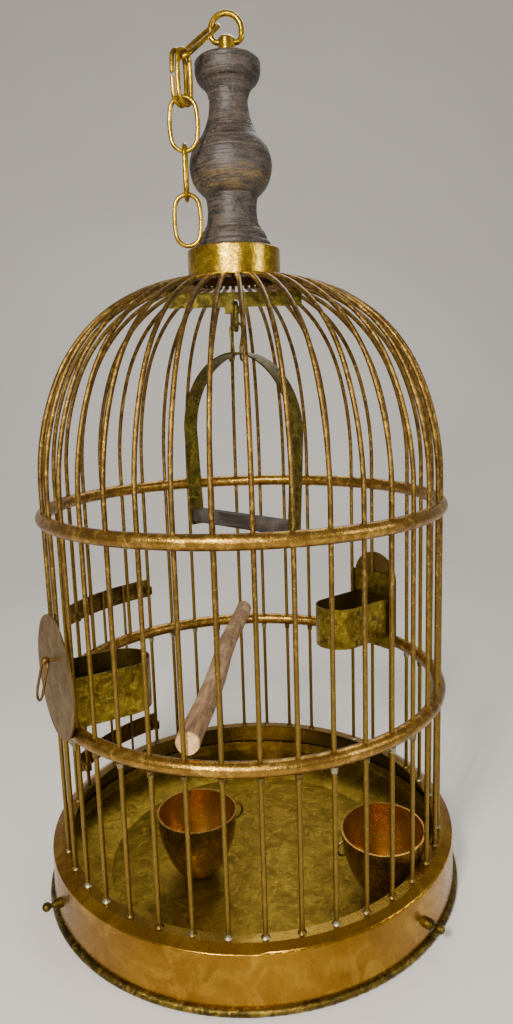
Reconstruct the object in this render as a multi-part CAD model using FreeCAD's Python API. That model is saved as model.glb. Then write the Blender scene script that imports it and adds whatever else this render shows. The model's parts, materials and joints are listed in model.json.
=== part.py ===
import FreeCAD, Part
import math
import os

# Domed brass bird cage that stands on its own base ring.
# Millimetres, +Z up, origin on the cage's axis in the plane that the base ring stands on.
# Azimuths are degrees about +Z from +X, and the front of the cage faces -Y.

V = FreeCAD.Vector
Z_AXIS = V(0, 0, 1)

# Cage wires
HOOP_R = 175.0
BAR_COUNT = 40
BAR_D = 3.8
BAR_PHASE = 1.8
BAR_STEP = 360.0 / BAR_COUNT
HOOP_TUBE_D = 12.0
LOWER_HOOP_Z = 185.0
UPPER_HOOP_Z = 349.6

# Dome outline: straight bar, wide shoulder arc, tighter crown arc that ends under the collar
SPRING_Z = 372.7
SHOULDER_R = 223.0
SHOULDER_ANGLE = 24.2
CROWN_R = 135.3
CROWN_END_R = 37.0
COLLAR_R = 39.7
COLLAR_BOTTOM_Z = 545.3
COLLAR_TOP_Z = 569.0

# Base band
FLANGE_Z = 51.6
FLANGE_INNER_R = 171.0
FLANGE_FLAT_R = 180.0
SKIRT_TOP_R = 188.2
SKIRT_BOTTOM_R = 189.4
SHEET = 1.2
BEAD_R = 190.2
BEAD_WIRE_D = 6.4
BEAD_Z = 2.8

# Tray and its clamp screws
TRAY_FLOOR_R = 138.0
TRAY_RIM_R = 186.2
TRAY_UNDERSIDE_Z = 1.8
TRAY_RIM_Z = 24.5
SCREW_Z = 19.5
SCREW_AZIMUTHS = {"left": -153.6, "right": -43.2}
SCREW_THREAD_D = 4.0

# Feeders
FEEDER_AZIMUTHS = {"left": -151.2, "right": 37.8}
CUP_WIDTH = 48.0
CUP_DEPTH = 76.0
CUP_BOTTOM_Z = 187.0
CUP_TOP_Z = 229.0
CUP_WALL = 1.0
DISC_R = 51.5
DISC_Z = 225.0
PIN_Z = 240.0
ARCHED_HALF_WIDTH = 29.0
ARCHED_TOP_Z = 275.0
DISC_FACE = 179.0
FRAME_HALF_WIDTH = 30.0
FRAME_BOTTOM_Z = 172.0
FRAME_TOP_Z = 254.0
PULL_LEAN = 14.0

# Door
DOOR_BAR = 16
DOOR_HALF_SPAN = 2
DOOR_WIRE_R = 183.1
DOOR_WIRE_D = 3.0
DOOR_STRIP_H = 20.0
DOOR_LOW_Z = 63.5
DOOR_HIGH_Z = 223.5

# Swing
SWING_YAW = -47.0
ARCH_TOP_Z = 484.0
ARCH_BOTTOM_Z = 324.0
ARCH_STRIP_W = 15.0
ARCH_STRIP_T = 1.6
ARCH_HALF_BOTTOM = 63.2
ARCH_HALF_WAIST = 68.7
CROSSBAR_HALF_L = 58.0
CROSSBAR_TOP_Z = 534.8
CROSSBAR_H = 12.4
LUG_HOLE_Z = 525.5
SHACKLE_WIRE_D = 4.4
SHACKLE_BOTTOM_Z = 503.2
SHACKLE_WIDTH = 17.0
HANGER_WIRE_D = 2.2

# Wooden perch that lies on the lower hoop
PERCH_D = 18.0
PERCH_NEAR = (-46.5, -165.0)
PERCH_FAR = (-1.0, 171.0)

# Bowls
BOWL_R = 36.3
BOWL_DEPTH = 64.0
BOWL_CAP_R = 27.0
BOWL_WALL = 1.2
BOWLS = {"left": (-51.7, -31.4), "right": (113.1, -72.6)}
BOWL_TILT = 4.0

# Finial, tie rod, nut and chain
FINIAL_TOP_Z = 724.5
TIE_ROD_D = 6.0
NUT_R = 7.25
NUT_TOP_Z = 739.5
RING_HOLE_Z = 733.8
RING_WIRE_D = 4.8
LINK_WIRE_D = 3.6
CHAIN_X = -36.5
CHAIN_Y = -31.0
LINK_1_END_Z = 709.8
PAIR_LENGTH = 44.0
LINK_3_LENGTH = 44.0
LINK_4_LENGTH = 45.0
LINK_5_LENGTH = 43.4
LINK_GAP_Z = LINK_WIRE_D + 0.6
CLEARANCE = 0.3

os.makedirs("parts", exist_ok=True)


# ---------------------------------------------------------------- helpers

def save(name, shape):
    shape.exportStep("parts/" + name + ".step")


def polar(radius, azimuth, z=0.0):
    a = math.radians(azimuth)
    return V(radius * math.cos(a), radius * math.sin(a), z)


def turn(shape, azimuth):
    """A copy turned about the cage's axis, so that +X points along the azimuth."""
    copy = shape.copy()
    copy.rotate(V(0, 0, 0), Z_AXIS, azimuth)
    return copy


def box(x0, x1, y0, y1, z0, z1):
    return Part.makeBox(x1 - x0, y1 - y0, z1 - z0, V(x0, y0, z0))


def rod(start, end, diameter):
    along = end - start
    return Part.makeCylinder(diameter / 2, along.Length, start, along)


def wire_of(points_and_arcs):
    """A wire through points; a (through, end) pair makes an arc from the last point."""
    edges = []
    last = points_and_arcs[0]
    for step in points_and_arcs[1:]:
        if isinstance(step, tuple):
            edges.append(Part.Arc(last, step[0], step[1]).toShape())
            last = step[1]
        else:
            edges.append(Part.LineSegment(last, step).toShape())
            last = step
    return Part.Wire(edges)


def bent_rod(points_and_arcs, diameter):
    """Round wire of one diameter along a path of straight runs and tangent arcs."""
    path = wire_of(points_and_arcs)
    edge = path.Edges[0]
    start = edge.valueAt(edge.FirstParameter)
    tangent = edge.tangentAt(edge.FirstParameter)
    if (start - points_and_arcs[0]).Length > 0.001:
        start = edge.valueAt(edge.LastParameter)
        tangent = edge.tangentAt(edge.LastParameter)
    section = Part.Wire(Part.makeCircle(diameter / 2, start, tangent))
    return path.makePipeShell([section], True, False)


def turned(outline):
    """A solid of revolution about Z from an outline given as (r, z) points and arc pairs."""
    steps = []
    for step in outline:
        if isinstance(step[0], tuple):
            steps.append((V(step[0][0], 0, step[0][1]), V(step[1][0], 0, step[1][1])))
        else:
            steps.append(V(step[0], 0, step[1]))
    steps.append(steps[0])
    face = Part.Face(wire_of(steps))
    return face.revolve(V(0, 0, 0), Z_AXIS, 360)


def ring(radius, wire_d, centre, axis):
    return Part.makeTorus(radius, wire_d / 2, centre, axis)


def oval_link(length, width, wire_d):
    """A closed chain link in the XZ plane: bulging sides and rounder ends, all tangent arcs."""
    w = (width - wire_d) / 2
    h = (length - wire_d) / 2
    end_r = 0.92 * w
    end_z = h - end_r
    side_r = (w * w + end_z * end_z - end_r * end_r) / (2 * (w - end_r))
    share = end_r / (side_r - end_r)
    x = (side_r - w) * share
    z = end_z + end_z * share
    return bent_rod([
        V(-w, 0, 0), (arc_on_side(side_r, w, z / 2), V(-x, 0, z)), (V(0, 0, h), V(x, 0, z)),
        (V(w, 0, 0), V(x, 0, -z)), (V(0, 0, -h), V(-x, 0, -z)),
        (arc_on_side(side_r, w, -z / 2), V(-w, 0, 0)),
    ], wire_d)


def arc_on_side(side_r, w, z):
    """A point on a link's left side at a height, the side being an arc through (-w, 0)."""
    return V(side_r - w - math.sqrt(side_r * side_r - z * z), 0, z)


def placed(shape, position, rotations=()):
    """A copy turned by each (axis, angle) in turn about its own origin, then moved."""
    copy = shape.copy()
    for axis, angle in rotations:
        copy.rotate(V(0, 0, 0), axis, angle)
    copy.translate(position)
    return copy


# ---------------------------------------------------------------- cage bars

def arc_point(centre, radius, angle):
    a = math.radians(angle)
    return V(centre.x + radius * math.cos(a), 0, centre.z + radius * math.sin(a))


def dome_path():
    """The curved part of a bar in the XZ plane, from the spring line to the collar."""
    shoulder = V(HOOP_R - SHOULDER_R, 0, SPRING_Z)
    end = arc_point(shoulder, SHOULDER_R, SHOULDER_ANGLE)
    crown = arc_point(end, -CROWN_R, SHOULDER_ANGLE)
    last_angle = math.degrees(math.acos((CROWN_END_R - crown.x) / CROWN_R))
    return [
        V(HOOP_R, 0, SPRING_Z),
        (arc_point(shoulder, SHOULDER_R, SHOULDER_ANGLE / 2), end),
        (arc_point(crown, CROWN_R, (SHOULDER_ANGLE + last_angle) / 2),
         arc_point(crown, CROWN_R, last_angle)),
    ]


def bar(foot_z=FLANGE_Z):
    """One cage wire standing in the XZ plane at +X."""
    return bent_rod([V(HOOP_R, 0, foot_z)] + dome_path(), BAR_D)


def bar_azimuth(index):
    return BAR_PHASE + BAR_STEP * index


def bar_of(azimuth):
    """Index of the bar that stands at an azimuth."""
    return round((azimuth - BAR_PHASE) / BAR_STEP) % BAR_COUNT


def short_bar(z0, z1):
    return rod(V(HOOP_R, 0, z0), V(HOOP_R, 0, z1), BAR_D)


def make_bars():
    """All the bars, keyed by the node that they belong to."""
    full = bar()
    feeder_bars = [bar_of(a) for a in FEEDER_AZIMUTHS.values()]
    door_bars = [DOOR_BAR + i for i in range(1 - DOOR_HALF_SPAN, DOOR_HALF_SPAN)]
    groups = {}
    for index in range(BAR_COUNT):
        azimuth = bar_azimuth(index)
        if index in feeder_bars:
            pieces = [short_bar(FLANGE_Z, FRAME_BOTTOM_Z), bar(FRAME_TOP_Z)]
            node = "bars_cut_at_feeders"
        elif index in door_bars:
            pieces = [bar(LOWER_HOOP_Z)]
            node = "bars_above_door"
        else:
            pieces = [full]
            node = "bars_" + ["right", "back", "left", "front"][int(((azimuth + 45) % 360) // 90)]
        groups.setdefault(node, []).extend(turn(piece, azimuth) for piece in pieces)
    return groups


def make_hoop(z, bars, gaps=()):
    """A hoop drilled for every bar, with a gap cut out of it at each feeder frame."""
    hoop = ring(HOOP_R, HOOP_TUBE_D, V(0, 0, z), Z_AXIS)
    for azimuth in gaps:
        half = FRAME_HALF_WIDTH
        hoop = hoop.cut(turn(box(HOOP_R - 30, HOOP_R + 30, -half, half, z - 20, z + 20), azimuth))
    near = box(-400, 400, -400, 400, z - 20, z + 20)
    drills = [b.common(near) for b in bars]
    return hoop.cut(drills)


def bar_collars(profile, skip=()):
    """A small turned piece round every bar that passes down to the flange."""
    piece = turned(profile)
    door = [DOOR_BAR + i for i in range(1 - DOOR_HALF_SPAN, DOOR_HALF_SPAN)]
    chosen = [i for i in range(BAR_COUNT) if i not in door and i not in skip]
    return Part.makeCompound([placed(piece, polar(HOOP_R, bar_azimuth(i))) for i in chosen])


def make_hoop_solder():
    """Sleeves of solder round the bars, under the lower hoop."""
    r = BAR_D / 2
    z = LOWER_HOOP_Z - HOOP_TUBE_D / 2
    at_frames = [bar_of(a) + i for a in FEEDER_AZIMUTHS.values() for i in (-1, 0, 1)]
    profile = [(r, z - 4.8), (r + 0.7, z - 4.8), (r + 1.1, z - 1.0), (r + 1.1, z), (r, z)]
    return bar_collars(profile, at_frames)


def make_foot_solder():
    """Cones of solder round the bars' feet, on the flange."""
    r = BAR_D / 2
    z = FLANGE_Z
    return bar_collars([(r, z), (r + 1.7, z), (r + 0.6, z + 1.4), (r + 0.3, z + 3.2), (r, z + 3.2)])


# ---------------------------------------------------------------- base

def make_base_band():
    """Turned-in flange, rolled shoulder and slightly flared skirt, all one sheet."""
    outline = [
        (FLANGE_INNER_R, FLANGE_Z - SHEET),
        (FLANGE_INNER_R, FLANGE_Z),
        (FLANGE_FLAT_R, FLANGE_Z),
        (SKIRT_TOP_R - 1.6, FLANGE_Z - 3.0),
        ((SKIRT_TOP_R - 0.2, FLANGE_Z - 4.0), (SKIRT_TOP_R, FLANGE_Z - 5.6)),
        (SKIRT_BOTTOM_R, BEAD_Z + BEAD_WIRE_D / 2 - 0.4),
        (SKIRT_BOTTOM_R - SHEET, BEAD_Z + BEAD_WIRE_D / 2 - 0.4),
        (SKIRT_TOP_R - SHEET, FLANGE_Z - 5.9),
        ((SKIRT_TOP_R - SHEET - 0.2, FLANGE_Z - 4.9), (SKIRT_TOP_R - 2.4, FLANGE_Z - 4.2)),
        (FLANGE_FLAT_R - 0.2, FLANGE_Z - SHEET),
    ]
    band = turned(outline).cut(base_bead_whole())
    for azimuth in SCREW_AZIMUTHS.values():
        band = band.cut(turn(screw_hole(SCREW_THREAD_D / 2 + 0.05), azimuth))
    return band


def base_bead_whole():
    return ring(BEAD_R, BEAD_WIRE_D, V(0, 0, BEAD_Z), Z_AXIS)


def make_base_bead():
    """Wired bottom edge, dressed flat where it stands."""
    return base_bead_whole().cut(box(-300, 300, -300, 300, -20, 0))


def screw_hole(radius):
    return Part.makeCylinder(radius, 30, V(SKIRT_TOP_R - 10, 0, SCREW_Z), V(1, 0, 0))


def skirt_solid():
    """Everything inside the band's outer face, to shape what is soldered on to it."""
    top = FLANGE_Z - 5.6
    bottom = BEAD_Z + BEAD_WIRE_D / 2 - 0.4
    return turned([(0, bottom), (SKIRT_BOTTOM_R, bottom), (SKIRT_TOP_R, top), (0, top)])


def make_screw_bosses():
    """Threaded bushes soldered to the band, one for each clamp screw."""
    outer = SKIRT_TOP_R + 5.4
    bush = Part.makeCylinder(4.4, 6.4, V(outer - 6.4, 0, SCREW_Z), V(1, 0, 0))
    bush = bush.fuse(Part.makeCylinder(3.4, 1.0, V(outer, 0, SCREW_Z), V(1, 0, 0)))
    bush = bush.cut([screw_hole(SCREW_THREAD_D / 2 + 0.05), skirt_solid()])
    return Part.makeCompound([turn(bush, a) for a in SCREW_AZIMUTHS.values()])


def make_screw(azimuth):
    """Clamp screw with a small ball head; its tip presses on the tray's lip."""
    tip = TRAY_RIM_R + CLEARANCE
    shank_end = SKIRT_TOP_R + 9.5
    screw = Part.makeCylinder(SCREW_THREAD_D / 2, shank_end - tip, V(tip, 0, SCREW_Z), V(1, 0, 0))
    head = Part.makeSphere(3.9, V(shank_end + 2.6, 0, SCREW_Z))
    return turn(screw.fuse(head).removeSplitter(), azimuth)


# ---------------------------------------------------------------- tray

def make_tray():
    """Dished tray: flat floor, shallow sloping side and an upright lip."""
    floor = TRAY_UNDERSIDE_Z
    slope_top = floor + 11.5
    return turned([
        (0, floor), (TRAY_FLOOR_R, floor),
        (TRAY_RIM_R - 1.0, slope_top), (TRAY_RIM_R, slope_top + 1.0),
        (TRAY_RIM_R, TRAY_RIM_Z - 0.6),
        ((TRAY_RIM_R - SHEET / 2, TRAY_RIM_Z), (TRAY_RIM_R - SHEET, TRAY_RIM_Z - 0.6)),
        (TRAY_RIM_R - SHEET, slope_top + 1.8),
        (TRAY_RIM_R - 2.0, slope_top + 1.1),
        (TRAY_FLOOR_R - 0.3, floor + SHEET), (0, floor + SHEET),
    ])


# ---------------------------------------------------------------- dome top

def make_collar():
    """Spun brass cap: an upright rim with a closed top, drilled for the tie rod."""
    return turned([
        (TIE_ROD_D / 2 + 0.05, COLLAR_TOP_Z - SHEET),
        (COLLAR_R - SHEET - 0.8, COLLAR_TOP_Z - SHEET),
        (COLLAR_R - SHEET, COLLAR_TOP_Z - SHEET - 0.8),
        (COLLAR_R - SHEET, COLLAR_BOTTOM_Z),
        (COLLAR_R, COLLAR_BOTTOM_Z),
        (COLLAR_R, COLLAR_TOP_Z - 1.0),
        ((COLLAR_R - 0.3, COLLAR_TOP_Z - 0.3), (COLLAR_R - 1.0, COLLAR_TOP_Z)),
        (TIE_ROD_D / 2 + 0.05, COLLAR_TOP_Z),
    ])


def trimmed_bars(groups):
    """The bars filed flat where the collar's lower edge stands on their ends."""
    collar_solid = Part.makeCylinder(COLLAR_R + 2, 60, V(0, 0, COLLAR_BOTTOM_Z))
    for node in groups:
        groups[node] = [b.cut(collar_solid) for b in groups[node]]
    return groups


def make_crossbar():
    """Flat strip on edge under the dome's crown, its end tabs soldered to two opposite bars."""
    bottom = CROSSBAR_TOP_Z - CROSSBAR_H
    strip = box(-CROSSBAR_HALF_L, CROSSBAR_HALF_L, -0.9, 0.9, bottom, CROSSBAR_TOP_Z)
    for end in (-CROSSBAR_HALF_L, CROSSBAR_HALF_L - 8):
        strip = strip.fuse(box(end, end + 8, -0.9, 0.9, CROSSBAR_TOP_Z - 1, 542.0))
    strip = turn(strip.removeSplitter().cut(lug_hole()), BAR_PHASE)
    return strip.cut(bar_pair_solid())


def lug_hole():
    return Part.makeCylinder(SHACKLE_WIRE_D / 2 + 1.3, 10, V(0, -5, LUG_HOLE_Z), V(0, 1, 0))


def bar_pair_solid():
    one = bar(UPPER_HOOP_Z)
    return turn(one, BAR_PHASE).fuse(turn(one, BAR_PHASE + 180))


def make_lug():
    """Two small cheek plates that thicken the crossbar round the hole for the swing."""
    bottom = CROSSBAR_TOP_Z - CROSSBAR_H - 5.6
    cheeks = [box(-9.5, 9.5, -1.9, -0.9, bottom, CROSSBAR_TOP_Z),
              box(-9.5, 9.5, 0.9, 1.9, bottom, CROSSBAR_TOP_Z)]
    return Part.makeCompound([turn(cheek.cut(lug_hole()), BAR_PHASE) for cheek in cheeks])


def make_tie_rod():
    """Stud that clamps the finial between the collar's cap and the dome nut."""
    return rod(V(0, 0, COLLAR_TOP_Z - 12), V(0, 0, FINIAL_TOP_Z + 1.2), TIE_ROD_D)


def make_tie_nut():
    """Square nut on the stud, under the collar's cap."""
    top = COLLAR_TOP_Z - SHEET
    nut = box(-6.5, 6.5, -6.5, 6.5, top - 5, top)
    return nut.cut(Part.makeCylinder(TIE_ROD_D / 2 + 0.02, 20, V(0, 0, top - 10)))


def make_finial():
    """Turned wooden baluster: foot, neck, ball, upper neck and cap, bored for the stud."""
    z0 = COLLAR_TOP_Z
    hole = TIE_ROD_D / 2 + 0.05
    return turned([
        (hole, z0), (31.8, z0), ((32.6, z0 + 3.2), (31.2, z0 + 6.6)), (29.6, z0 + 7.2),
        ((28.2, z0 + 12.5), (24.2, z0 + 17)), (24.2, z0 + 18.4), (23.0, z0 + 19.2),
        ((21.0, z0 + 32), (22.2, z0 + 43.6)), (23.2, z0 + 44.4),
        ((34.9, z0 + 66.5), (28.6, z0 + 86)),
        ((20.4, z0 + 99), (16.6, z0 + 114)),
        ((17.6, z0 + 125), (23.4, z0 + 133.4)), (24.2, z0 + 133.6),
        ((26.6, z0 + 138), (27.2, z0 + 146)), ((26.9, z0 + 149), (25.0, z0 + 150.4)),
        (7.6, FINIAL_TOP_Z), (hole, FINIAL_TOP_Z),
    ])


def make_dome_nut():
    """Domed brass nut with a cross hole for the hanging ring."""
    dome_r = 8.6
    nut = Part.makeCylinder(NUT_R, NUT_TOP_Z - FINIAL_TOP_Z, V(0, 0, FINIAL_TOP_Z))
    nut = nut.common(Part.makeSphere(dome_r, V(0, 0, NUT_TOP_Z - dome_r)))
    nut = nut.cut(Part.makeCylinder(TIE_ROD_D / 2 + 0.02, 1.22, V(0, 0, FINIAL_TOP_Z)))
    return nut.cut(rod(V(-20, 0, RING_HOLE_Z), V(20, 0, RING_HOLE_Z), RING_WIRE_D + 0.9))


def make_hanging_ring():
    """Stirrup-shaped ring of thick wire: straight through the nut, round above it."""
    z = RING_HOLE_Z
    half, corner, spring = 12.6, 5.4, 9.4
    middle = corner * (1 - math.sqrt(0.5))
    return bent_rod([
        V(0, 0, z), V(half - corner, 0, z), (V(half - middle, 0, z + middle), V(half, 0, z + corner)),
        V(half, 0, z + spring), (V(0, 0, z + spring + half), V(-half, 0, z + spring)),
        V(-half, 0, z + corner), (V(middle - half, 0, z + middle), V(corner - half, 0, z)),
        V(0, 0, z),
    ], RING_WIRE_D)


# ---------------------------------------------------------------- chain

def hanging(link, top_z, length, azimuth, shift=V(0, 0, 0)):
    """A link hung upright on the chain's line, its flat face turned to an azimuth."""
    centre = V(CHAIN_X, CHAIN_Y, top_z + LINK_WIRE_D / 2 - length / 2) + shift
    return placed(link, centre, [(Z_AXIS, azimuth)])


def slung_link(start, end, width):
    """The link that runs from the hanging ring's wire down to the hanging part of the chain."""
    along = end - start
    along.normalize()
    level = math.hypot(along.x, along.y)
    start = start - along * ((RING_WIRE_D / 2 + LINK_WIRE_D / 2 + 1.2) / level)
    length = (end - start).Length + LINK_WIRE_D
    across = along.cross(Z_AXIS)
    across.normalize()
    face = across.cross(along)
    turn_to = FreeCAD.Matrix(across.x, face.x, along.x, 0, across.y, face.y, along.y, 0,
                             across.z, face.z, along.z, 0, 0, 0, 0, 1)
    link = oval_link(length, width, LINK_WIRE_D).transformGeometry(turn_to)
    return placed(link, (start + end) * 0.5)


def side_gap(link, width, side, half_gap):
    """A link with a short gap sawn in one of its straight sides."""
    x = side * (width - LINK_WIRE_D) / 2
    return link.cut(box(x - 4, x + 4, -4, 4, -half_gap, half_gap))


def make_chain():
    """Every link by name, from the hanging ring down past the finial."""
    ring_side = V(-12.6, 0, RING_HOLE_Z + 9.4)
    run = V(CHAIN_X, CHAIN_Y, LINK_1_END_Z)
    heading = math.degrees(math.atan2(CHAIN_Y, CHAIN_X - ring_side.x)) + 180
    pair = polar((LINK_WIRE_D + 0.4) / 2, heading - 90) + polar(0.8, heading)
    top_2 = LINK_1_END_Z + LINK_WIRE_D + 2.2
    top_3 = top_2 - PAIR_LENGTH + LINK_WIRE_D + 6.2
    top_4 = top_3 - LINK_3_LENGTH + LINK_WIRE_D + LINK_GAP_Z
    top_5 = top_4 - LINK_4_LENGTH + LINK_WIRE_D + LINK_GAP_Z
    open_2 = side_gap(oval_link(PAIR_LENGTH, 20, LINK_WIRE_D), 20, -1, 1.6)
    closed_2 = oval_link(PAIR_LENGTH, 19, LINK_WIRE_D)
    link_3 = oval_link(LINK_3_LENGTH, 26, LINK_WIRE_D)
    link_4 = oval_link(LINK_4_LENGTH, 22, LINK_WIRE_D)
    open_5 = side_gap(oval_link(LINK_5_LENGTH, 25, LINK_WIRE_D), 25, 1, 0.4)
    return {
        "chain_link_1": slung_link(ring_side, run, 18),
        "chain_link_2_open": hanging(open_2, top_2, PAIR_LENGTH, heading, pair * -1),
        "chain_link_2_closed": hanging(closed_2, top_2, PAIR_LENGTH, heading, pair),
        "chain_link_3": hanging(link_3, top_3, LINK_3_LENGTH, 0),
        "chain_link_4": hanging(link_4, top_4, LINK_4_LENGTH, 90),
        "chain_link_5": hanging(open_5, top_5, LINK_5_LENGTH, 0),
    }


# ---------------------------------------------------------------- feeders

def make_feeder_frame(azimuth):
    """Flat plate soldered outside two bars, with the opening that the cup slides through."""
    inner = HOOP_R * math.cos(math.radians(BAR_STEP)) + BAR_D / 2
    plate = box(inner, inner + SHEET, -FRAME_HALF_WIDTH, FRAME_HALF_WIDTH,
                FRAME_BOTTOM_Z, FRAME_TOP_Z)
    half = CUP_WIDTH / 2 + 0.5
    opening = box(inner - 5, inner + 5, -half, half, CUP_BOTTOM_Z - 0.5, CUP_TOP_Z + 0.8)
    return turn(plate.cut(opening), azimuth)


def cup_block(inset, bottom, top):
    """Straight-sided block with a half-round inner end, smaller all round by the inset."""
    r = CUP_WIDTH / 2 - inset
    inner_end = HOOP_R - CUP_DEPTH + CUP_WIDTH / 2
    block = box(inner_end, DISC_FACE - inset, -r, r, bottom, top)
    return block.fuse(Part.makeCylinder(r, top - bottom, V(inner_end, 0, bottom)))


def make_cup(azimuth):
    """Open-topped seed cup with a half-round inner end."""
    cup = cup_block(0, CUP_BOTTOM_Z, CUP_TOP_Z).removeSplitter()
    cup = cup.cut(cup_block(CUP_WALL, CUP_BOTTOM_Z + CUP_WALL, CUP_TOP_Z + 5))
    return turn(cup, azimuth)


def pin_hole():
    return Part.makeCylinder(1.6, 10, V(DISC_FACE - 5, 0, PIN_Z), V(1, 0, 0))


def make_round_cover(azimuth):
    """Large round plate that closes the left feeder's opening from outside."""
    disc = Part.makeCylinder(DISC_R, SHEET, V(DISC_FACE, 0, DISC_Z), V(1, 0, 0))
    return turn(disc.cut(pin_hole()), azimuth)


def make_arched_cover(azimuth):
    """Plate with a half-round top that closes the right feeder's opening from outside."""
    x0, x1 = DISC_FACE, DISC_FACE + SHEET
    spring = ARCHED_TOP_Z - ARCHED_HALF_WIDTH
    plate = box(x0, x1, -ARCHED_HALF_WIDTH, ARCHED_HALF_WIDTH, CUP_BOTTOM_Z - 6, spring)
    top = Part.makeCylinder(ARCHED_HALF_WIDTH, SHEET, V(x0, 0, spring), V(1, 0, 0))
    return turn(plate.fuse(top).removeSplitter().cut(pin_hole()), azimuth)


def make_feeder_pin(azimuth):
    """Riveted pin with a round head and a cross hole for the pull."""
    z = PIN_Z
    out = DISC_FACE + SHEET
    pin = rod(V(DISC_FACE, 0, z), V(out + 5.6, 0, z), 3.2)
    head = Part.makeSphere(3.6, V(out + 6.4, 0, z))
    pin = pin.fuse(head).removeSplitter()
    hole = rod(V(out + 6.4, -10, z), V(out + 6.4, 10, z), 2.9)
    return turn(pin.cut(hole), azimuth)


def make_feeder_pull(azimuth):
    """Wire pull that hinges in the pin's cross hole and hangs down."""
    z = PIN_Z
    x = DISC_FACE + SHEET + 6.4
    half, corner, drop = 8.0, 3.0, 24.0
    middle = corner * (1 - math.sqrt(0.5))
    pull = bent_rod([
        V(0, 0, 0), V(0, half - corner, 0), (V(0, half - middle, -middle), V(0, half, -corner)),
        V(0, half, -drop), (V(0, 0, -drop - half), V(0, -half, -drop)),
        V(0, -half, -corner), (V(0, middle - half, -middle), V(0, corner - half, 0)), V(0, 0, 0),
    ], 2.2)
    pull = placed(pull, V(x, 0, z), [(V(0, 1, 0), -PULL_LEAN)])
    return turn(pull, azimuth)


# ---------------------------------------------------------------- door

def door_azimuths():
    return [bar_azimuth(DOOR_BAR + i) for i in range(-DOOR_HALF_SPAN, DOOR_HALF_SPAN + 1)]


def make_door_wires():
    """Upright wires that stand on the flange and close the doorway."""
    foot = FLANGE_Z - 0.4
    top = DOOR_HIGH_Z + DOOR_STRIP_H
    wires = [rod(polar(DOOR_WIRE_R, a, foot), polar(DOOR_WIRE_R, a, top), DOOR_WIRE_D)
             for a in door_azimuths()[1:-1]]
    return Part.makeCompound(wires)


def make_door_strip(z):
    """Flat strip bent to the cage's curve, soldered outside the door wires."""
    inner = DOOR_WIRE_R + DOOR_WIRE_D / 2
    first, last = door_azimuths()[0], door_azimuths()[-1]
    face = Part.Face(wire_of([V(inner, 0, z), V(inner + SHEET, 0, z),
                              V(inner + SHEET, 0, z + DOOR_STRIP_H),
                              V(inner, 0, z + DOOR_STRIP_H), V(inner, 0, z)]))
    strip = face.revolve(V(0, 0, 0), Z_AXIS, last - first + 4.0)
    return turn(strip, first - 2.0)


def make_door_guides(z):
    """Two flat eyes that slide on the bars beside the doorway."""
    height = 8.0
    low = z + (DOOR_STRIP_H - height) / 2
    inner = DOOR_WIRE_R + DOOR_WIRE_D / 2
    eye = Part.makeCylinder(3.9, height, V(HOOP_R, 0, low))
    neck = box(HOOP_R, inner, -1.2, 1.2, low, low + height)
    eye = eye.fuse(neck).removeSplitter()
    eye = eye.cut(Part.makeCylinder(BAR_D / 2 + 0.4, height + 2, V(HOOP_R, 0, low - 1)))
    outer_cut = turned([(inner, low - 5), (inner + 20, low - 5),
                        (inner + 20, low + 20), (inner, low + 20)])
    eye = eye.cut(outer_cut)
    return [turn(eye, door_azimuths()[0]), turn(eye, door_azimuths()[-1])]


# ---------------------------------------------------------------- swing and perches

def make_shackle():
    """Thick oval link through the lug's hole, seen edge-on from the front."""
    link = oval_link(LUG_HOLE_Z - SHACKLE_BOTTOM_Z + SHACKLE_WIRE_D, SHACKLE_WIDTH, SHACKLE_WIRE_D)
    centre = V(0, 0, (LUG_HOLE_Z + SHACKLE_BOTTOM_Z) / 2)
    return turn(placed(link, centre, [(Z_AXIS, 90)]), BAR_PHASE)


def swing_local(shape):
    """From the swing's own frame, where the arch stands in the XZ plane, to the cage."""
    return turn(shape, SWING_YAW)


def arch_outline(offset):
    """Half of the arch's centreline from the top to the foot, moved out by an offset."""
    top = ARCH_TOP_Z - ARCH_STRIP_T / 2
    waist = ARCH_TOP_Z - 68.0
    return [
        V(0, 0, top + offset), (V(46.5 + offset * 0.75, 0, top - 19 + offset * 0.66),
                                V(ARCH_HALF_WAIST + offset, 0, waist)),
        V(ARCH_HALF_BOTTOM + offset, 0, ARCH_BOTTOM_Z),
    ]


def make_arch():
    """Arch of flat strip, drilled at the crown for the hanger and near its feet."""
    t = ARCH_STRIP_T / 2
    outer, inner = arch_outline(t), arch_outline(-t)

    def flip(p):
        return V(-p.x, p.y, p.z)

    outer_half = [outer[0], outer[1], outer[2]]
    path = outer_half + [inner[2], inner[1][1], (inner[1][0], inner[0])]
    path += [(flip(inner[1][0]), flip(inner[1][1])), flip(inner[2]), flip(outer[2]),
             flip(outer[1][1]), (flip(outer[1][0]), outer[0])]
    half_w = ARCH_STRIP_W / 2
    face = Part.Face(wire_of(path))
    face.translate(V(0, -half_w, 0))
    arch = face.extrude(V(0, ARCH_STRIP_W, 0))
    for x in (-4.5, 4.5):
        arch = arch.cut(Part.makeCylinder(1.6, 12, V(x, 0, ARCH_TOP_Z - 8)))
    pin_z = ARCH_BOTTOM_Z + 9
    arch = arch.cut(rod(V(-90, 0, pin_z), V(90, 0, pin_z), 2.6))
    return swing_local(arch)


def arch_half_at(z):
    """Half the clear width between the arch's legs at a height below the waist."""
    waist = ARCH_TOP_Z - 68.0
    share = (waist - z) / (waist - ARCH_BOTTOM_Z)
    centre = ARCH_HALF_WAIST + (ARCH_HALF_BOTTOM - ARCH_HALF_WAIST) * share
    return centre - ARCH_STRIP_T / 2


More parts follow.
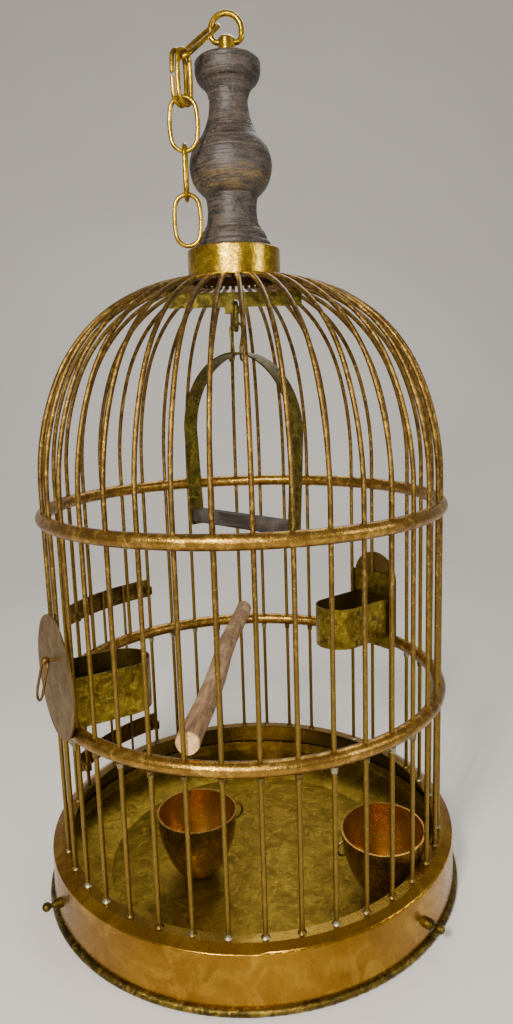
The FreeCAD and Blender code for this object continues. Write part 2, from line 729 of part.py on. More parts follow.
def make_swing_perch():
    """Weathered squarish wooden bar between the arch's feet."""
    low, high = ARCH_BOTTOM_Z + 2.5, ARCH_BOTTOM_Z + 15.5
    half = arch_half_at(low) - 0.05
    bar_solid = box(-half, half, -6.5, 6.5, low, high)
    edges = [e for e in bar_solid.Edges if abs(e.Vertexes[0].X - e.Vertexes[1].X) > 10]
    return swing_local(bar_solid.makeFillet(2.6, edges))


def make_swing_nails():
    """Round nails through the arch's feet into the ends of the perch."""
    z = ARCH_BOTTOM_Z + 9
    inner = arch_half_at(z)
    nails = []
    for side in (-1, 1):
        shank = rod(V(side * inner, 0, z), V(side * (inner + ARCH_STRIP_T + 0.2), 0, z), 2.6)
        head = rod(V(side * (inner + ARCH_STRIP_T + 0.2), 0, z),
                   V(side * (inner + ARCH_STRIP_T + 1.4), 0, z), 5.0)
        nails.append(swing_local(shank.fuse(head).removeSplitter()))
    return Part.makeCompound(nails)


def make_hanger():
    """Thin wire looped over the shackle; its two ends curl under the arch's crown."""
    top = SHACKLE_BOTTOM_Z + SHACKLE_WIRE_D / 2 + HANGER_WIRE_D / 2 + 2.4
    under = ARCH_TOP_Z - ARCH_STRIP_T
    half = [
        V(0, 0, top), (V(5.8, 0, top - 2.0), V(8.0, 0, top - 7.5)),
        V(4.5, 0, ARCH_TOP_Z + 4), V(4.5, 0, under - 2.6),
        (V(7.4, 0, under - 5.8), V(10.0, 0, under - 3.0)),
    ]
    right = bent_rod(half, HANGER_WIRE_D)
    left = right.mirror(V(0, 0, 0), V(1, 0, 0))
    return swing_local(right.fuse(left).removeSplitter())


def make_perch():
    """Round stick that lies loose across the lower hoop."""
    z = LOWER_HOOP_Z + HOOP_TUBE_D / 2 + PERCH_D / 2 + CLEARANCE
    near = V(PERCH_NEAR[0], PERCH_NEAR[1], z)
    far = V(PERCH_FAR[0], PERCH_FAR[1], z)
    return rod(near, far, PERCH_D)


# ---------------------------------------------------------------- bowls

def bowl_wall(inset):
    """Egg-shaped half outline below the rim: a bulging flank, then a round cap on the axis."""
    drop = BOWL_DEPTH - BOWL_CAP_R
    flank_r = (BOWL_R ** 2 + drop ** 2 - BOWL_CAP_R ** 2) / (2 * (BOWL_R - BOWL_CAP_R))
    reach = flank_r - BOWL_R
    meet = math.atan2(drop, reach)
    low = (meet + math.pi / 2) / 2
    flank_r -= inset
    cap_r = BOWL_CAP_R - inset
    return [
        (flank_r * math.cos(meet / 2) - reach, -flank_r * math.sin(meet / 2)),
        (cap_r * math.cos(meet), -drop - cap_r * math.sin(meet)),
        (cap_r * math.cos(low), -drop - cap_r * math.sin(low)),
        (0, -drop - cap_r),
    ]


def bowl_body():
    """Solid of the bowl's outside, for trimming the wires that are soldered to it."""
    flank, meet, cap, bottom = bowl_wall(0)
    return turned([(0, 0), (BOWL_R, 0), (flank, meet), (cap, bottom)])


def make_bowl():
    """Deep egg-shaped cup below its rim plane, with a thin rolled rim."""
    inner = BOWL_R - BOWL_WALL
    flank, meet, cap, bottom = bowl_wall(0)
    flank_in, meet_in, cap_in, bottom_in = bowl_wall(BOWL_WALL)
    rim = 1.0
    return turned([
        bottom, (cap, meet), (flank, (BOWL_R, 0)), (BOWL_R + 0.5, 0.3), (BOWL_R + 0.5, rim),
        (inner, rim), (inner, 0), (flank_in, meet_in), (cap_in, bottom_in),
    ])


def ear(azimuth):
    """C-shaped wire ear soldered outside the bowl just under its rim."""
    d = 2.0
    x = BOWL_R + d / 2
    c = bent_rod([
        V(x, 0, -1.5), V(x + 2, 0, -1.5), (V(x + 6.5, 0, -8.5), V(x + 1.2, 0, -15.5)),
        V(x - 1.6, 0, -15.5),
    ], d)
    return turn(c.cut(bowl_body()), azimuth)


def hook_ear(azimuth):
    """Upright wire hook on one bowl's rim, for hanging the bowl on a bar."""
    d = 2.0
    x = BOWL_R + 0.5 + d / 2
    hook = bent_rod([
        V(x, 0, -9), V(x, 0, 14), (V(x + 3.6, 0, 18.4), V(x + 7.2, 0, 14)), V(x + 7.2, 0, 8),
    ], d)
    return turn(hook.cut(bowl_body()), azimuth)


def bowl_place(shape, side):
    x, y = BOWLS[side]
    tilt = BOWL_TILT if side == "right" else 0.0
    cap_centre = (BOWL_DEPTH - BOWL_CAP_R) * math.cos(math.radians(tilt))
    z = TRAY_UNDERSIDE_Z + SHEET + cap_centre + BOWL_CAP_R + CLEARANCE
    return placed(shape, V(x, y, z), [(V(1, -0.35, 0), tilt)])


# ---------------------------------------------------------------- the whole cage

def build_cage():
    groups = trimmed_bars(make_bars())
    every_bar = [b for node in groups.values() for b in node]
    for node, solids in groups.items():
        save(node, Part.makeCompound(solids))
    save("lower_hoop", make_hoop(LOWER_HOOP_Z, every_bar, FEEDER_AZIMUTHS.values()))
    save("upper_hoop", make_hoop(UPPER_HOOP_Z, every_bar))
    save("hoop_solder", make_hoop_solder())
    save("foot_solder", make_foot_solder())
    save("base_band", make_base_band())
    save("base_edge_wire", make_base_bead())
    save("screw_bosses", make_screw_bosses())
    save("dome_collar", make_collar())
    save("swing_crossbar", make_crossbar())
    save("swing_lug", make_lug())


def build_crown():
    save("finial_tie_rod", make_tie_rod())
    save("finial_tie_nut", make_tie_nut())
    save("finial", make_finial())
    save("dome_nut", make_dome_nut())
    save("hanging_ring", make_hanging_ring())
    for node, link in make_chain().items():
        save(node, link)


def build_tray():
    save("tray", make_tray())
    for side, azimuth in SCREW_AZIMUTHS.items():
        save("tray_screw_" + side, make_screw(azimuth))
    bowl = make_bowl()
    ears = {"left": [ear(198), ear(18)], "right": [ear(196), hook_ear(102)]}
    for side in BOWLS:
        save("bowl_" + side, bowl_place(bowl, side))
        save("bowl_ears_" + side, bowl_place(Part.makeCompound(ears[side]), side))


def build_feeders():
    save("feeder_cover_left", make_round_cover(FEEDER_AZIMUTHS["left"]))
    save("feeder_cover_right", make_arched_cover(FEEDER_AZIMUTHS["right"]))
    for side, azimuth in FEEDER_AZIMUTHS.items():
        save("feeder_frame_" + side, make_feeder_frame(azimuth))
        save("feeder_cup_" + side, make_cup(azimuth))
        save("feeder_pin_" + side, make_feeder_pin(azimuth))
        save("feeder_pull_" + side, make_feeder_pull(azimuth))


def build_door():
    save("door_wires", make_door_wires())
    save("door_top_strip", make_door_strip(DOOR_HIGH_Z))
    save("door_bottom_strip", make_door_strip(DOOR_LOW_Z))
    save("door_guides", Part.makeCompound(make_door_guides(DOOR_HIGH_Z) + make_door_guides(DOOR_LOW_Z)))


def build_swing():
    save("swing_shackle", make_shackle())
    save("swing_hanger", make_hanger())
    save("swing_arch", make_arch())
    save("swing_perch", make_swing_perch())
    save("swing_nails", make_swing_nails())
    save("long_perch", make_perch())


build_cage()
build_crown()
build_tray()
build_feeders()
build_door()
build_swing()
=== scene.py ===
import json
import math

import bpy
from mathutils import Matrix, Vector, noise as turbulence


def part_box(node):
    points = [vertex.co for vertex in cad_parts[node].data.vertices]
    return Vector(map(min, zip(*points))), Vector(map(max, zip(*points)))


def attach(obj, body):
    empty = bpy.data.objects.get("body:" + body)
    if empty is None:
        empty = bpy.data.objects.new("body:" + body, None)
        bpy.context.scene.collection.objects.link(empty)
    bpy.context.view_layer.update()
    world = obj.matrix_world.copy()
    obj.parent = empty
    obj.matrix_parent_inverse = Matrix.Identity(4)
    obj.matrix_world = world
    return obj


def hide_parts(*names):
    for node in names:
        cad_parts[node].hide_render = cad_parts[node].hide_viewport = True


# Looks for the domed brass bird cage: metres, +Z up, the cage's axis at the origin.

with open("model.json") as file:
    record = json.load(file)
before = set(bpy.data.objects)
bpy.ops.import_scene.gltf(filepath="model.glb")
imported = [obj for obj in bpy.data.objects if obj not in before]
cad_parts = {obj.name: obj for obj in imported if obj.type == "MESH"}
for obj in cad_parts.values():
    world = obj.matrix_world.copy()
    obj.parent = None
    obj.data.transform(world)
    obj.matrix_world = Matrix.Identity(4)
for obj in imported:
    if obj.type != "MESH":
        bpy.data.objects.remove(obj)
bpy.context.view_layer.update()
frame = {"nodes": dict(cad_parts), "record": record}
nodes = frame["nodes"]

# The camera stands in front of the cage, a little above its middle, turned and tilted slightly.
# Lens and sensor are in millimetres, angles in degrees.
CAMERA_PLACE = (-0.0035, -0.654, 0.448)
CAMERA_LENS = 25.56
CAMERA_SENSOR = 36.0
CAMERA_YAW = 1.42
CAMERA_PITCH = -9.29
CAMERA_ROLL = -1.78

# The sweep under and behind the cage.
FLOOR_FRONT = -14.0
FLOOR_HALF_WIDTH = 9.0
FLOOR_DROP = 0.0003
BEND_START = 1.2
BEND_RADIUS = 0.8
BEND_STEPS = 16
BACKDROP_HEIGHT = 4.0

# Lights: warm light in front, neutral light beside and behind the cage.
LIGHT_TARGET = (0.0, 0.0, 0.34)
WARM_LIGHT = (1.0, 0.95, 0.88)
NEUTRAL_LIGHT = (1.0, 1.0, 1.0)
ROOM_LIGHT = (0.95, 0.90, 0.84, 1.0)
ROOM_STRENGTH = 0.36

# Turn about the cage's axis that brings each perch's length onto an axis of the texture, in degrees.
SWING_TURN = 47.0
STICK_TURN = 7.7

# The finial: height step and corners of its rings, the height of its ball as a share of the
# whole, the spacing of the tool's grooves in radians per metre, and the depths of its wear.
FINIAL_STEP = 0.0005
FINIAL_CORNERS = 120
FINIAL_LEAST_RADIUS = 0.0008
BALL_SHARE = 0.335
GROOVE_WAVE = 3900.0
GROOVE_DEPTH = 0.00016
WORN_RING_DEPTH = 0.0004
DENT_DEPTH = 0.0012
NICK_DEPTH = 0.0005

# The stick: steps along it, corners round it, its sideways bend, how much thicker it starts, how
# far its ends are rounded, its wear and knots, and the depths between which its sawn end's colour
# fades out.
STICK_STEPS = 240
STICK_CORNERS = 64
STICK_BEND = 0.0022
STICK_SWELL = 0.0009
STICK_ROUNDING = 0.0009
STICK_LEAST_WEAR = 0.00035
STICK_WEAR = 0.0009
STICK_GRAIN = 0.0005
STICK_KNOT = 0.0013
SAWN_DEPTH = (0.0012, 0.0030)


# ---------------------------------------------------------------- node building

class Tree:
    """Short names for the shader nodes that the materials share."""

    def __init__(self, name):
        self.material = bpy.data.materials.new(name)
        self.material.use_nodes = True
        self.nodes = self.material.node_tree.nodes
        self.links = self.material.node_tree.links
        self.shader = self.nodes["Principled BSDF"]
        coordinates = self.nodes.new("ShaderNodeTexCoord").outputs
        self.place = coordinates["Object"]
        self.normal = coordinates["Normal"]

    def feed(self, socket, value):
        if isinstance(value, bpy.types.NodeSocket):
            self.links.new(value, socket)
        elif isinstance(value, tuple) and len(value) == 3 and socket.type == "RGBA":
            socket.default_value = (*value, 1.0)
        else:
            socket.default_value = value

    def noise(self, scale, detail=4.0, rough=0.55, twist=0.0, place=None):
        node = self.nodes.new("ShaderNodeTexNoise")
        self.feed(node.inputs["Vector"], place or self.place)
        node.inputs["Scale"].default_value = scale
        node.inputs["Detail"].default_value = detail
        node.inputs["Roughness"].default_value = rough
        node.inputs["Distortion"].default_value = twist
        return node.outputs["Fac"]

    def cells(self, scale):
        node = self.nodes.new("ShaderNodeTexVoronoi")
        self.feed(node.inputs["Vector"], self.place)
        node.inputs["Scale"].default_value = scale
        return node.outputs["Distance"]

    def stretched(self, x, y, z, yaw=0.0):
        """Texture coordinates, turned about the vertical and then scaled on each axis."""
        turned = self.nodes.new("ShaderNodeMapping")
        self.feed(turned.inputs["Vector"], self.place)
        turned.inputs["Rotation"].default_value = (0.0, 0.0, math.radians(yaw))
        node = self.nodes.new("ShaderNodeMapping")
        self.feed(node.inputs["Vector"], turned.outputs["Vector"])
        node.inputs["Scale"].default_value = (x, y, z)
        return node.outputs["Vector"]

    def ramp(self, value, low, high, out_low=0.0, out_high=1.0):
        node = self.nodes.new("ShaderNodeMapRange")
        self.feed(node.inputs["Value"], value)
        for key, amount in (("From Min", low), ("From Max", high),
                            ("To Min", out_low), ("To Max", out_high)):
            node.inputs[key].default_value = amount
        return node.outputs["Result"]

    def mix(self, share, first, second):
        node = self.nodes.new("ShaderNodeMix")
        node.data_type = "RGBA"
        self.feed(node.inputs["Factor"], share)
        self.feed(node.inputs[6], first)
        self.feed(node.inputs[7], second)
        return node.outputs[2]

    def math(self, kind, first, second=0.0):
        node = self.nodes.new("ShaderNodeMath")
        node.operation = kind
        self.feed(node.inputs[0], first)
        self.feed(node.inputs[1], second)
        return node.outputs[0]

    def vector(self, kind, first, second):
        node = self.nodes.new("ShaderNodeVectorMath")
        node.operation = kind
        self.feed(node.inputs[0], first)
        self.feed(node.inputs[1], second)
        return node.outputs["Value"] if kind == "DOT_PRODUCT" else node.outputs["Vector"]

    def axis(self, letter):
        """One coordinate of the surface point."""
        node = self.nodes.new("ShaderNodeSeparateXYZ")
        self.feed(node.inputs["Vector"], self.place)
        return node.outputs[letter]

    def inside(self, centre, flat=(1.0, 1.0, 1.0)):
        """1 where the surface faces a centre, 0 where it faces away from it."""
        out = self.vector("SUBTRACT", self.place, centre)
        out = self.vector("MULTIPLY", out, flat)
        facing = self.vector("DOT_PRODUCT", self.normal, out)
        return self.ramp(facing, 0.001, -0.001)

    def bump(self, height, distance, strength=1.0, under=None):
        node = self.nodes.new("ShaderNodeBump")
        node.inputs["Distance"].default_value = distance
        node.inputs["Strength"].default_value = strength
        self.feed(node.inputs["Height"], height)
        if under:
            self.feed(node.inputs["Normal"], under)
        return node.outputs["Normal"]

    def finish(self, colour, roughness, normal, metallic=0.0):
        self.feed(self.shader.inputs["Base Color"], colour)
        self.feed(self.shader.inputs["Roughness"], roughness)
        self.feed(self.shader.inputs["Normal"], normal)
        self.feed(self.shader.inputs["Metallic"], metallic)
        return self.material


def darker(colour, share):
    return tuple(channel * share for channel in colour)


def aged_metal(name, base, dark, bright, rough=(0.26, 0.48), blotch=28.0, metallic=0.94,
               stain=None, stain_share=(0.60, 0.68), pits=0.00012, inner=None,
               centre=(0.0, 0.0, 0.0), flat=(1.0, 1.0, 1.0), low=None):
    """Rubbed and tarnished metal: cloudy patina, worn patches, stains, specks and fine pits."""
    t = Tree(name)
    cloud = t.noise(blotch, 6.0, 0.62, 0.5)
    worn = t.noise(blotch * 2.1, 5.0, 0.65, 0.9)
    grain = t.noise(blotch * 13, 4.0, 0.65)
    colour = t.mix(t.ramp(cloud, 0.36, 0.60), dark, base)
    colour = t.mix(t.ramp(worn, 0.50, 0.66, 0.0, 0.9), colour, bright)
    if low:
        height, low_colour = low
        colour = t.mix(t.ramp(t.axis("Z"), height, height - 0.12, 0.0, 0.75), colour, low_colour)
    if inner:
        inner_colour = t.mix(t.ramp(cloud, 0.38, 0.62), darker(inner, 0.62), inner)
        colour = t.mix(t.inside(centre, flat), colour, inner_colour)
    if stain:
        mask = t.ramp(t.noise(blotch * 2.7, 7.0, 0.72, 0.4), *stain_share, 0.0, 0.85)
        colour = t.mix(mask, colour, stain)
    colour = t.mix(t.ramp(grain, 0.40, 0.72, 0.0, 0.35), colour, dark)
    speck = t.ramp(t.cells(blotch * 15), 0.16, 0.06)
    speck = t.math("MULTIPLY", speck, t.ramp(worn, 0.45, 0.55, 0.9, 0.1))
    colour = t.mix(speck, colour, darker(dark, 0.3))
    roughness = t.math("ADD", t.ramp(cloud, 0.3, 0.7, rough[1], rough[0]),
                       t.ramp(grain, 0.3, 0.7, -0.04, 0.10))
    normal = t.bump(grain, pits)
    normal = t.bump(worn, pits * 5.0, 0.5, normal)
    return t.finish(colour, roughness, normal, metallic)


def wood(name, base, dark, pale, along, ring=260.0, rough=(0.62, 0.85), knots=0.0, bump=0.0002,
         yaw=0.0):
    """Dry wood with fibres that run along one axis."""
    t = Tree(name)
    squeeze = [ring, ring, ring]
    squeeze[along] = ring * 0.06
    fibre = t.noise(1.0, 7.0, 0.7, 0.5, t.stretched(*squeeze, yaw=yaw))
    broad = t.noise(34.0, 4.0, 0.6, 0.5)
    colour = t.mix(t.ramp(fibre, 0.38, 0.62), dark, base)
    colour = t.mix(t.ramp(broad, 0.50, 0.68, 0.0, 0.7), colour, pale)
    colour = t.mix(t.ramp(t.noise(70.0, 5.0, 0.7, 1.2), 0.58, 0.68, 0.0, knots), colour,
                   darker(dark, 0.5))
    roughness = t.ramp(broad, 0.3, 0.7, *rough)
    return t, colour, roughness, t.bump(fibre, bump)


# ---------------------------------------------------------------- materials

def middle(node):
    """Centre of a node's box."""
    low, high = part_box(node)
    return tuple((Vector(low) + Vector(high)) / 2)


# Weights that leave height out where inner and outer faces are told apart.
LEVEL = (1.0, 1.0, 0.0)

SPECS = {
    "aged_brass": dict(base=(0.20, 0.112, 0.022), dark=(0.085, 0.045, 0.010),
                       bright=(0.46, 0.28, 0.055), rough=(0.22, 0.40), blotch=80.0, pits=0.0003,
                       stain=(0.12, 0.090, 0.026), low=(0.34, (0.25, 0.16, 0.024))),
    "hoop_brass": dict(base=(0.33, 0.180, 0.030), dark=(0.18, 0.092, 0.015),
                       bright=(0.62, 0.38, 0.075), rough=(0.18, 0.34), blotch=48.0, pits=0.0002,
                       stain=(0.18, 0.095, 0.018), stain_share=(0.60, 0.70)),
    "dark_brass": dict(base=(0.15, 0.10, 0.015), dark=(0.035, 0.024, 0.005),
                       bright=(0.36, 0.25, 0.04), rough=(0.24, 0.42), blotch=80.0, pits=0.0003),
    "bright_brass": dict(base=(0.50, 0.31, 0.016), dark=(0.20, 0.115, 0.008),
                         bright=(0.74, 0.50, 0.05), rough=(0.14, 0.26), blotch=55.0, pits=0.0001,
                         stain=(0.15, 0.085, 0.010), stain_share=(0.58, 0.74)),
    "swing_brass": dict(base=(0.14, 0.105, 0.014), dark=(0.04, 0.030, 0.006),
                        bright=(0.30, 0.23, 0.03), rough=(0.28, 0.48), blotch=90.0, pits=0.0003),
    "bowl_wire": dict(base=(0.20, 0.12, 0.02), dark=(0.06, 0.035, 0.008),
                      bright=(0.44, 0.27, 0.05), blotch=80.0),
    "disc_brass": dict(base=(0.17, 0.095, 0.018), dark=(0.10, 0.054, 0.010),
                       bright=(0.26, 0.155, 0.03), rough=(0.38, 0.54), blotch=60.0, metallic=0.75,
                       stain=(0.22, 0.17, 0.06)),
    "feeder_brass": dict(base=(0.27, 0.19, 0.014), dark=(0.085, 0.058, 0.006),
                         bright=(0.52, 0.39, 0.045), rough=(0.26, 0.44), blotch=75.0,
                         stain=(0.36, 0.34, 0.17), stain_share=(0.62, 0.70)),
    "door_brass": dict(base=(0.17, 0.105, 0.018), dark=(0.055, 0.034, 0.007),
                       bright=(0.38, 0.24, 0.04), rough=(0.26, 0.44), blotch=70.0),
    "tray_brass": dict(base=(0.30, 0.195, 0.017), dark=(0.16, 0.100, 0.009),
                       bright=(0.44, 0.30, 0.030), rough=(0.28, 0.42), blotch=52.0, pits=0.0003,
                       stain=(0.16, 0.120, 0.016), stain_share=(0.56, 0.68)),
    "base_copper_brass": dict(base=(0.33, 0.170, 0.014), dark=(0.22, 0.105, 0.009),
                              bright=(0.45, 0.250, 0.026), rough=(0.17, 0.28), blotch=17.0,
                              pits=0.00006, stain=(0.20, 0.105, 0.011), stain_share=(0.60, 0.72),
                              inner=(0.16, 0.125, 0.02), flat=LEVEL),
    "steel_stud": dict(base=(0.12, 0.11, 0.10), dark=(0.04, 0.038, 0.035),
                       bright=(0.26, 0.25, 0.24)),
}

BOWL_SPEC = dict(base=(0.32, 0.185, 0.026), dark=(0.16, 0.088, 0.013), bright=(0.50, 0.30, 0.045),
                 rough=(0.18, 0.32), blotch=60.0, inner=(0.66, 0.36, 0.070))

CUP_INNER = (0.20, 0.13, 0.02)


def solder():
    """Tin solder that shows grey and bare at some joints and is brown with tarnish at most."""
    t = Tree("solder_look")
    grain = t.noise(520.0, 4.0, 0.6)
    tin = t.mix(t.ramp(grain, 0.35, 0.6), (0.12, 0.11, 0.05), (0.40, 0.37, 0.22))
    brown = t.mix(t.ramp(grain, 0.35, 0.6), (0.05, 0.030, 0.008), (0.20, 0.125, 0.02))
    bare = t.ramp(t.noise(26.0, 3.0, 0.6, 0.4), 0.52, 0.58)
    return t.finish(t.mix(bare, brown, tin), t.ramp(grain, 0.3, 0.7, 0.28, 0.5),
                    t.bump(t.noise(300.0, 3.0), 0.0006), 0.85)


def turned_wood():
    """Near-black stained wood, rubbed through to a golden tone round the ball."""
    t = Tree("finial_wood")
    swirl = t.noise(1.0, 7.0, 0.7, 1.6, t.stretched(26, 26, 120))
    colour = t.mix(t.ramp(swirl, 0.42, 0.60), (0.014, 0.010, 0.007), (0.060, 0.043, 0.030))
    pores = t.noise(640.0, 3.0, 0.6)
    colour = t.mix(t.ramp(pores, 0.52, 0.68, 0.0, 0.6), colour, (0.12, 0.095, 0.072))
    roughness = t.ramp(swirl, 0.3, 0.7, 0.40, 0.62)
    normal = t.bump(t.math("ADD", swirl, t.math("MULTIPLY", pores, 0.4)), 0.0004)
    low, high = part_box("finial")
    ball = low[2] + (high[2] - low[2]) * BALL_SHARE
    wander = t.math("MULTIPLY", t.ramp(t.noise(38.0, 3.0, 0.6), 0.3, 0.7, -1.0, 1.0), 0.005)
    away = t.math("ABSOLUTE", t.math("SUBTRACT", t.math("ADD", t.axis("Z"), wander), ball))
    band = t.ramp(away, 0.009, 0.002, 0.0, 0.9)
    rub = t.math("MULTIPLY", band, t.ramp(t.noise(1.0, 6.0, 0.72, 0.8, t.stretched(60, 60, 260)),
                                          0.46, 0.60))
    colour = t.mix(rub, colour, (0.19, 0.115, 0.028))
    lines = t.noise(1.0, 5.0, 0.7, 0.3, t.stretched(22, 22, 800))
    colour = t.mix(t.ramp(lines, 0.54, 0.66, 0.0, 0.6), colour, (0.115, 0.088, 0.062))
    scuff = t.noise(1.0, 5.0, 0.7, 0.9, t.stretched(120, 120, 210))
    colour = t.mix(t.ramp(scuff, 0.66, 0.71, 0.0, 0.75), colour, (0.30, 0.27, 0.22))
    return t.finish(colour, roughness, normal)


def swing_wood():
    """Dark old wood of the swing's perch."""
    t, colour, roughness, normal = wood("swing_wood", (0.034, 0.024, 0.016),
                                        (0.010, 0.007, 0.005), (0.11, 0.085, 0.06), 0, 320.0,
                                        knots=0.6, bump=0.0007, yaw=SWING_TURN)
    return t.finish(colour, roughness, normal)


def stick_wood():
    """Dry brown stick with a pale sawn end."""
    t, colour, roughness, normal = wood("stick_wood", (0.36, 0.205, 0.090), (0.14, 0.072, 0.030),
                                        (0.60, 0.41, 0.21), 1, 300.0, knots=0.8, bump=0.0004,
                                        yaw=STICK_TURN)
    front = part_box("long_perch")[0][1]
    near_end = t.ramp(t.axis("Y"), front + SAWN_DEPTH[1], front + SAWN_DEPTH[0])
    sawn = t.mix(t.ramp(t.noise(240.0, 4.0, 0.7), 0.42, 0.6), (0.86, 0.56, 0.24),
                 (0.56, 0.31, 0.12))
    colour = t.mix(near_end, colour, sawn)
    return t.finish(colour, roughness, normal)


def make_materials():
    made = {slot: aged_metal(slot + "_look", **spec) for slot, spec in SPECS.items()}
    made["solder"] = solder()
    made["dark_wood"] = turned_wood()
    made["weathered_wood"] = swing_wood()
    made["perch_wood"] = stick_wood()
    return made


def paint(node, material):
    """Give every slot of a node the same material."""
    for slot in nodes[node].material_slots:
        slot.material = material


def paint_nodes(made):
    """Each node gets its slot's look. Bowls and cups get their own, with a different inside."""
    for part in frame["record"]["subparts"]:
        if part["material_slot"] in made:
            paint(part["node"], made[part["material_slot"]])
    for side in ("left", "right"):
        low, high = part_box("bowl_" + side)
        rim_centre = ((low[0] + high[0]) / 2, (low[1] + high[1]) / 2, high[2])
        bowl_spec = dict(BOWL_SPEC, centre=rim_centre)
        paint("bowl_" + side, aged_metal("bowl_look_" + side, **bowl_spec))
        cup = "feeder_cup_" + side
        cup_spec = dict(SPECS["feeder_brass"], inner=CUP_INNER, centre=middle(cup), flat=LEVEL)
        paint(cup, aged_metal("cup_look_" + side, **cup_spec))


# ---------------------------------------------------------------- worn wooden shapes

def ripple(*place):
    """Smooth noise from -1 to 1."""
    return turbulence.noise(Vector(place))


def around(count):
    """Directions of evenly spaced corners round a circle."""
    angles = [math.tau * k / count for k in range(count)]
    return [(math.cos(angle), math.sin(angle)) for angle in angles]


def add_object(name, data):
    piece = bpy.data.objects.new(name, data)
    bpy.context.scene.collection.objects.link(piece)
    return piece


def ring_surface(name, rings, material):
    """Closed skin over rings of points, all with the same count, from one end to the other."""
    count = len(rings[0])
    points = [point for ring in rings for point in ring]
    faces = [tuple(reversed(range(count)))]
    for row in range(len(rings) - 1):
        first = row * count
        for k in range(count):
            after = (k + 1) % count
            faces.append((first + k, first + after, first + count + after, first + count + k))
    last = (len(rings) - 1) * count
    faces.append(tuple(range(last, last + count)))
    mesh = bpy.data.meshes.new(name)
    mesh.from_pydata(points, [], faces)
    mesh.materials.append(material)
    for face in mesh.polygons[1:-1]:
        face.use_smooth = True
    return add_object(name, mesh)


def node_points(node):
    piece = nodes[node]
    return [piece.matrix_world @ vertex.co for vertex in piece.data.vertices]


def outer_radius(points, step):
    """Largest radius about the cage's axis in each band of height, gaps filled evenly."""
    low = min(point.z for point in points)
    high = max(point.z for point in points)
    bands = {}
    for point in points:
        band = round((point.z - low) / step)
        bands[band] = max(bands.get(band, 0.0), math.hypot(point.x, point.y))
    known = sorted(bands)
    radii = []
    for below, above in zip(known, known[1:]):
        for band in range(below, above):
            share = (band - below) / (above - below)
            radii.append(bands[below] * (1 - share) + bands[above] * share)
    radii.append(bands[known[-1]])
    rise = (high - low) / (len(radii) - 1)
    return [(low + rise * row, radius) for row, radius in enumerate(radii)]


def add_finial(material):
    """The turned finial with tool grooves, worn rings, dents and nicks."""
    rings = []
    for z, radius in outer_radius(node_points("finial"), FINIAL_STEP):
        groove = max(0.0, math.sin(z * GROOVE_WAVE)) * GROOVE_DEPTH
        groove += max(0.0, ripple(0, 0, z * 420)) * WORN_RING_DEPTH
        ring = []
        for x, y in around(FINIAL_CORNERS):
            dent = max(0.0, ripple(x * 3.1, y * 3.1, z * 85) - 0.25) * DENT_DEPTH
            dent += max(0.0, ripple(x * 9, y * 9, z * 300 + 7) - 0.2) * NICK_DEPTH
            r = max(radius - groove - dent, FINIAL_LEAST_RADIUS)
            ring.append((r * x, r * y, z))
        rings.append(ring)
    piece = ring_surface("worn_finial", rings, material)
    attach(piece, "cage")
    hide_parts("finial")


def add_stick(material):
    """The loose perch as a natural stick: slightly bent, knotty and uneven."""
    points = node_points("long_perch")
    middle_y = sum(point.y for point in points) / len(points)
    near = [point for point in points if point.y < middle_y]
    far = [point for point in points if point.y >= middle_y]
    start = sum(near, Vector()) / len(near)
    end = sum(far, Vector()) / len(far)
    radius = max((point - start).length for point in near)
    along = (end - start).normalized()
    side = along.cross(Vector((0, 0, 1))).normalized()
    rings = []
    for row in range(STICK_STEPS + 1):
        share = row / STICK_STEPS
        ease = math.sin(math.pi * share)
        swell = STICK_SWELL * (1 - share) ** 2
        centre = start.lerp(end, share) + side * (STICK_BEND * ease * math.sin(share * 7.0))
        centre.z += swell
        edge = STICK_ROUNDING * max(0.0, 1 - min(row, STICK_STEPS - row) / 2)
        ring = []
        for x, y in around(STICK_CORNERS):
            loss = STICK_LEAST_WEAR + STICK_WEAR * abs(ripple(x * 0.8, y * 0.8, share * 9))
            loss += STICK_GRAIN * abs(ripple(x * 6, y * 6, share * 22))
            knot = STICK_KNOT * ease * max(0.0, ripple(x * 1.3 + 4, y * 1.3, share * 16) - 0.35)
            r = radius + swell - loss + knot - edge
            ring.append(centre + side * (r * x) + side.cross(along) * (r * y))
        rings.append(ring)
    piece = ring_surface("natural_stick", rings, material)
    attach(piece, "long_perch")
    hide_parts("long_perch")


# ---------------------------------------------------------------- stage, light and camera

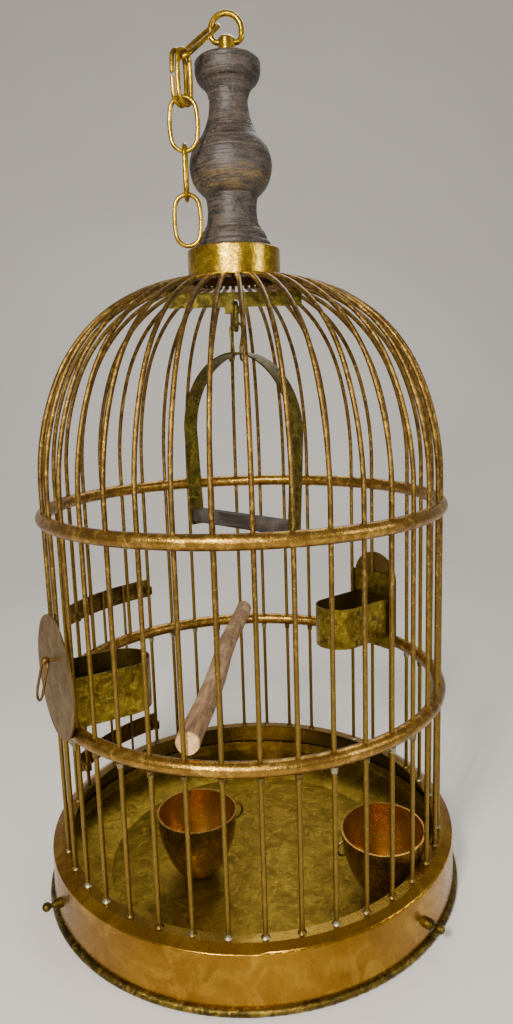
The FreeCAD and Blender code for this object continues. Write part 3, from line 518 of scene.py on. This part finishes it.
def add_floor():
    """Pale sweep: a floor that curves up into a backdrop well behind the cage."""
    t = Tree("floor_look")
    tint = t.mix(t.noise(3.0), (0.72, 0.69, 0.65), (0.77, 0.74, 0.70))
    material = t.finish(tint, 0.6, t.bump(t.noise(60.0), 0.0002))
    outline = [(FLOOR_FRONT, 0.0), (BEND_START, 0.0)]
    for step in range(1, BEND_STEPS + 1):
        angle = math.pi / 2 * step / BEND_STEPS
        outline.append((BEND_START + math.sin(angle) * BEND_RADIUS,
                        BEND_RADIUS - math.cos(angle) * BEND_RADIUS))
    outline.append((BEND_START + BEND_RADIUS, BACKDROP_HEIGHT))
    points = [(x, y, z) for y, z in outline for x in (-FLOOR_HALF_WIDTH, FLOOR_HALF_WIDTH)]
    faces = [(k, k + 1, k + 3, k + 2) for k in range(0, len(points) - 2, 2)]
    mesh = bpy.data.meshes.new("floor")
    mesh.from_pydata(points, [], faces)
    mesh.materials.append(material)
    for face in mesh.polygons:
        face.use_smooth = True
    floor = add_object("floor", mesh)
    floor.location.z = -FLOOR_DROP


def add_light(name, place, size, power, colour):
    """Square soft light that faces the cage's middle."""
    data = bpy.data.lights.new(name, "AREA")
    data.size = size
    data.energy = power
    data.color = colour
    light = add_object(name, data)
    light.location = place
    aim = Vector(LIGHT_TARGET) - Vector(place)
    light.rotation_euler = aim.to_track_quat("-Z", "Y").to_euler()


def add_lights():
    world = bpy.data.worlds.new("studio")
    world.use_nodes = True
    background = world.node_tree.nodes["Background"].inputs
    background["Color"].default_value = ROOM_LIGHT
    background["Strength"].default_value = ROOM_STRENGTH
    bpy.context.scene.world = world
    add_light("key", (-0.42, -1.10, 0.98), 0.22, 22.0, WARM_LIGHT)
    add_light("front", (0.02, -1.25, 0.62), 0.14, 6.0, WARM_LIGHT)
    add_light("fill", (1.4, -0.7, 0.9), 0.5, 6.0, NEUTRAL_LIGHT)
    add_light("back", (0.3, 1.1, 1.7), 0.9, 12.0, NEUTRAL_LIGHT)


def add_camera():
    data = bpy.data.cameras.new("camera")
    data.sensor_fit = "VERTICAL"
    data.sensor_height = CAMERA_SENSOR
    data.lens = CAMERA_LENS
    data.clip_start = 0.01
    camera = add_object("camera", data)
    turn = Matrix.Rotation(math.radians(-CAMERA_YAW), 4, "Z")
    tilt = Matrix.Rotation(math.radians(90 + CAMERA_PITCH), 4, "X")
    roll = Matrix.Rotation(math.radians(CAMERA_ROLL), 4, "Z")
    camera.matrix_world = Matrix.Translation(CAMERA_PLACE) @ turn @ tilt @ roll
    bpy.context.scene.camera = camera


materials = make_materials()
paint_nodes(materials)
add_finial(materials["dark_wood"])
add_stick(materials["perch_wood"])
add_floor()
add_lights()
add_camera()
